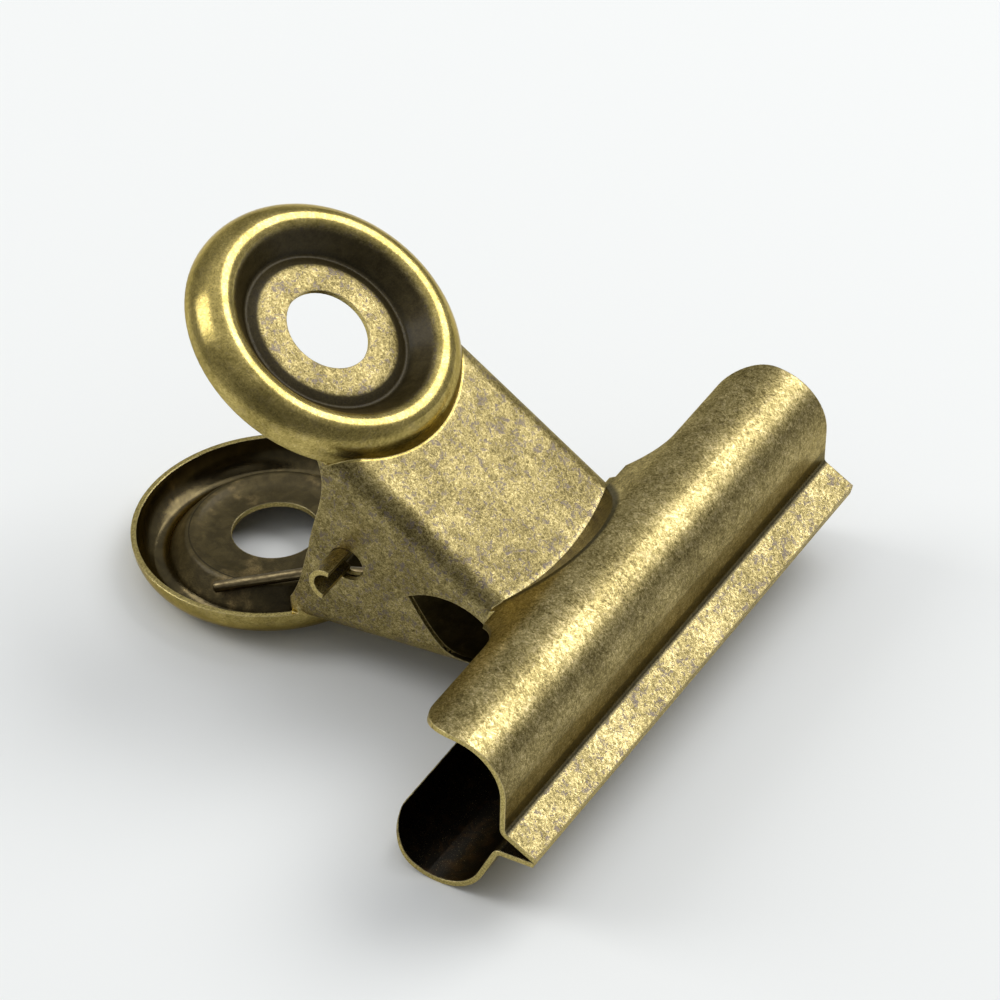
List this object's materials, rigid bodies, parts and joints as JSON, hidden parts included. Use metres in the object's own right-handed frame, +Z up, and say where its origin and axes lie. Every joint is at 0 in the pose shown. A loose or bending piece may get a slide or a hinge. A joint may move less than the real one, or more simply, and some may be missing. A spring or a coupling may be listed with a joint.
{
  "type": "bulldog clip",
  "caption": "Sprung bulldog clip with two domed jaws on a tongue hinge, and round dished handles with hanging holes.",
  "frame": {"origin": "middle of the bounding box on the surface that the clip lies on", "axes": "+X along the hinge axis and the jaws, +Y from the jaws to the handles, +Z up, with the clip lying on its lower jaw"},
  "size_m": [0.051, 0.0514, 0.0327],
  "materials": {
    "antique_brass": "antiqued plate, rubbed on the raised parts",
    "spring_wire": "antiqued drawn wire"
  },
  "bodies": {
    "lower": {"lower_jaw": "antique_brass", "torsion_spring": "spring_wire"},
    "upper": {"upper_jaw": "antique_brass"}
  },
  "joints": [
    {"name": "jaw_hinge", "type": "hinge", "parent": "lower", "child": "upper", "pos_m": [0, 0.00118, 0.01218], "axis": [-1, 0, 0], "range_deg": [0, 60], "stiffness_Nm_per_rad": 0.04, "springref_deg": -148.97, "deforming": ["torsion_spring"]}
  ]
}
